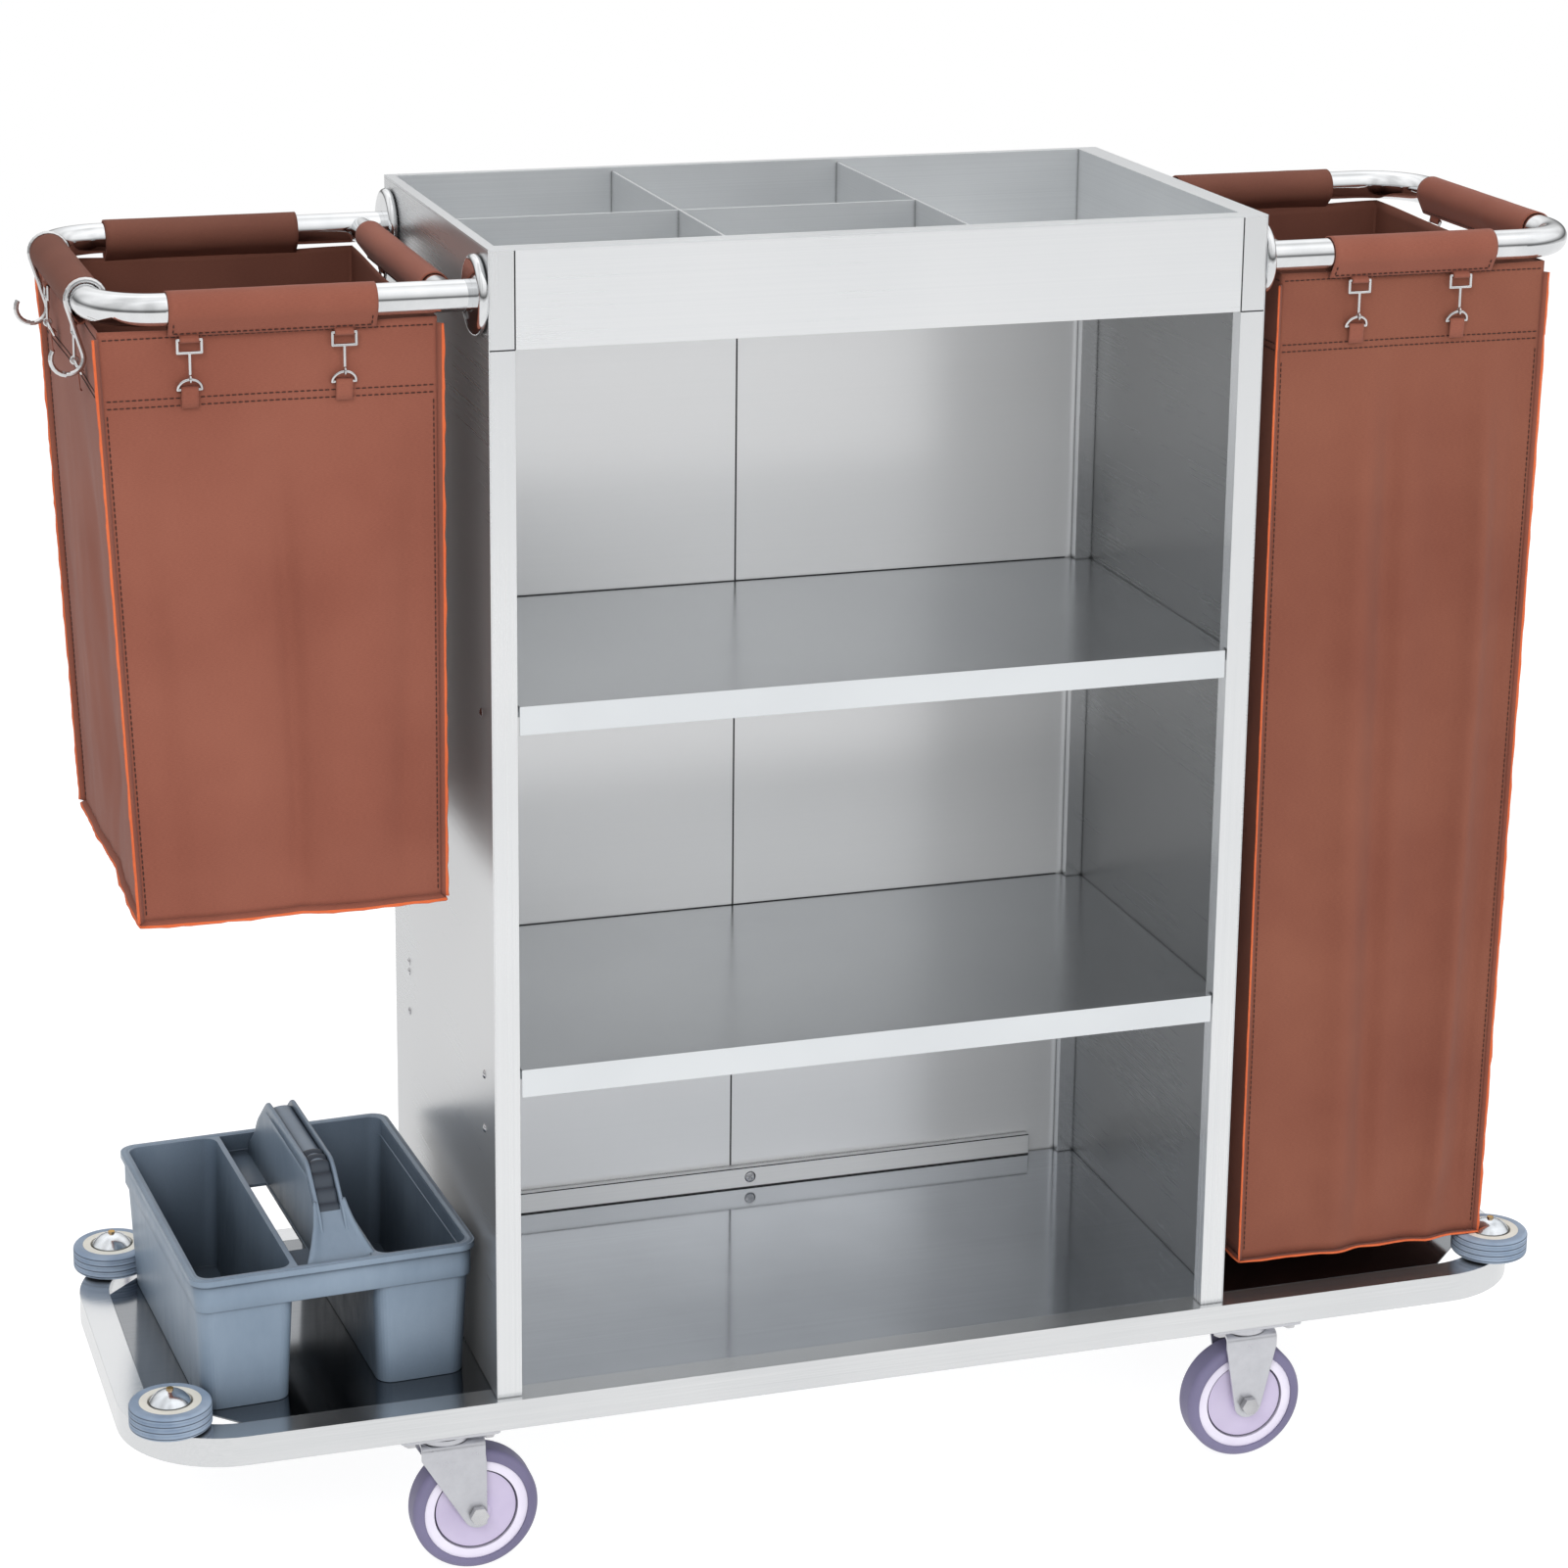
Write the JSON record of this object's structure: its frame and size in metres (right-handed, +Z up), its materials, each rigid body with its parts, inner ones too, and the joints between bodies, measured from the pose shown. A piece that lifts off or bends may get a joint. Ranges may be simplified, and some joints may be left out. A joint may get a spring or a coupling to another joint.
{
  "type": "housekeeping cart",
  "caption": "Stainless housekeeping cart with an open shelf cabinet, divided top tray, wheeled base, corner bumpers, hung laundry bags and a carry caddy.",
  "frame": {"origin": "on the floor under the middle of the whole cart, S-hooks included", "axes": "+X along the cart to its right, -Y out of the cabinet's open front, +Z up"},
  "size_m": [1.5245, 0.462, 1.33],
  "materials": {
    "frame_steel": "brushed stainless tube",
    "deck_steel": "polished stainless sheet",
    "panel_steel": "fine brushed stainless sheet",
    "chrome_tube": "polished stainless tube",
    "zinc": "zinc plated pressing",
    "bumper_rubber": "matt blue-grey rubber",
    "bumper_ring": "moulded cream ring",
    "tyre_rubber": "violet-grey non-marking rubber",
    "wheel_plastic": "moulded pale wheel centre",
    "bag_cloth": "terracotta canvas",
    "caddy_plastic": "blue-grey moulded plastic"
  },
  "bodies": {
    "chassis": {"base_frame": "frame_steel", "deck_sheet": "deck_steel", "bumper_studs": "zinc", "bumper_caps": "chrome_tube", "caster_plates": "zinc", "caster_bolts": "zinc", "swivel_bearings": "zinc", "kingpins": "zinc", "right_front_fork": "zinc", "right_rear_fork": "zinc", "right_front_axle": "zinc", "right_rear_axle": "zinc", "left_front_post": "panel_steel", "right_front_post": "panel_steel", "left_rear_post": "panel_steel", "right_rear_post": "panel_steel", "left_side_panel": "panel_steel", "right_side_panel": "panel_steel", "left_back_panel": "panel_steel", "right_back_panel": "panel_steel", "header": "panel_steel", "tray_corner_blocks": "panel_steel", "tray_pan": "panel_steel", "tray_dividers": "panel_steel", "lower_shelf": "panel_steel", "upper_shelf": "panel_steel", "floor_rail": "panel_steel", "panel_screws": "panel_steel", "left_handle": "chrome_tube", "right_handle": "chrome_tube", "cross_bars": "chrome_tube", "handle_flanges": "chrome_tube", "left_sleeves": "bag_cloth", "right_sleeves": "bag_cloth", "bag_hooks": "chrome_tube", "left_bag": "bag_cloth", "right_bag": "bag_cloth"},
    "left_front_swivel": {"left_front_fork": "zinc", "left_front_axle": "zinc"},
    "left_front_wheel": {"left_front_wheel_core": "wheel_plastic", "left_front_tyre": "tyre_rubber"},
    "left_rear_swivel": {"left_rear_fork": "zinc", "left_rear_axle": "zinc"},
    "left_rear_wheel": {"left_rear_wheel_core": "wheel_plastic", "left_rear_tyre": "tyre_rubber"},
    "right_front_wheel": {"right_front_wheel_core": "wheel_plastic", "right_front_tyre": "tyre_rubber"},
    "right_rear_wheel": {"right_rear_wheel_core": "wheel_plastic", "right_rear_tyre": "tyre_rubber"},
    "left_front_bumper": {"left_front_bumper_tyre": "bumper_rubber", "left_front_bumper_hub": "bumper_ring"},
    "left_rear_bumper": {"left_rear_bumper_tyre": "bumper_rubber", "left_rear_bumper_hub": "bumper_ring"},
    "right_front_bumper": {"right_front_bumper_tyre": "bumper_rubber", "right_front_bumper_hub": "bumper_ring"},
    "right_rear_bumper": {"right_rear_bumper_tyre": "bumper_rubber", "right_rear_bumper_hub": "bumper_ring"},
    "caddy": {"caddy": "caddy_plastic"},
    "front_s_hook": {"front_s_hook": "chrome_tube"},
    "rear_s_hook": {"rear_s_hook": "chrome_tube"}
  },
  "joints": [
    {"name": "left_front_swivel_turn", "type": "hinge", "parent": "chassis", "child": "left_front_swivel", "pos_m": [-0.42375, -0.187, 0.143], "axis": [0, 0, 1], "continuous": true},
    {"name": "left_front_wheel_spin", "type": "hinge", "parent": "left_front_swivel", "child": "left_front_wheel", "pos_m": [-0.39375, -0.187, 0.0635], "axis": [0, 1, 0], "continuous": true},
    {"name": "left_rear_swivel_turn", "type": "hinge", "parent": "chassis", "child": "left_rear_swivel", "pos_m": [-0.42375, 0.187, 0.143], "axis": [0, 0, 1], "continuous": true},
    {"name": "left_rear_wheel_spin", "type": "hinge", "parent": "left_rear_swivel", "child": "left_rear_wheel", "pos_m": [-0.39375, 0.187, 0.0635], "axis": [0, 1, 0], "continuous": true},
    {"name": "right_front_wheel_spin", "type": "hinge", "parent": "chassis", "child": "right_front_wheel", "pos_m": [0.43525, -0.187, 0.0635], "axis": [0, 1, 0], "continuous": true},
    {"name": "right_rear_wheel_spin", "type": "hinge", "parent": "chassis", "child": "right_rear_wheel", "pos_m": [0.43525, 0.187, 0.0635], "axis": [0, 1, 0], "continuous": true},
    {"name": "left_front_bumper_spin", "type": "hinge", "parent": "chassis", "child": "left_front_bumper", "pos_m": [-0.69093, -0.18818, 0.201], "axis": [0, 0, 1], "continuous": true},
    {"name": "left_rear_bumper_spin", "type": "hinge", "parent": "chassis", "child": "left_rear_bumper", "pos_m": [-0.69093, 0.18818, 0.201], "axis": [0, 0, 1], "continuous": true},
    {"name": "right_front_bumper_spin", "type": "hinge", "parent": "chassis", "child": "right_front_bumper", "pos_m": [0.71943, -0.18818, 0.201], "axis": [0, 0, 1], "continuous": true},
    {"name": "right_rear_bumper_spin", "type": "hinge", "parent": "chassis", "child": "right_rear_bumper", "pos_m": [0.71943, 0.18818, 0.201], "axis": [0, 0, 1], "continuous": true},
    {"name": "caddy_lift", "type": "slide", "parent": "chassis", "child": "caddy", "axis": [0, 0, 1], "range_m": [0, 0.25]},
    {"name": "front_s_hook_swing", "type": "hinge", "parent": "chassis", "child": "front_s_hook", "pos_m": [-0.72675, -0.123, 1.283], "axis": [0, 1, 0], "range_deg": [0, 40]},
    {"name": "rear_s_hook_swing", "type": "hinge", "parent": "chassis", "child": "rear_s_hook", "pos_m": [-0.72675, 0.1265, 1.283], "axis": [0, 1, 0], "range_deg": [0, 40]}
  ]
}
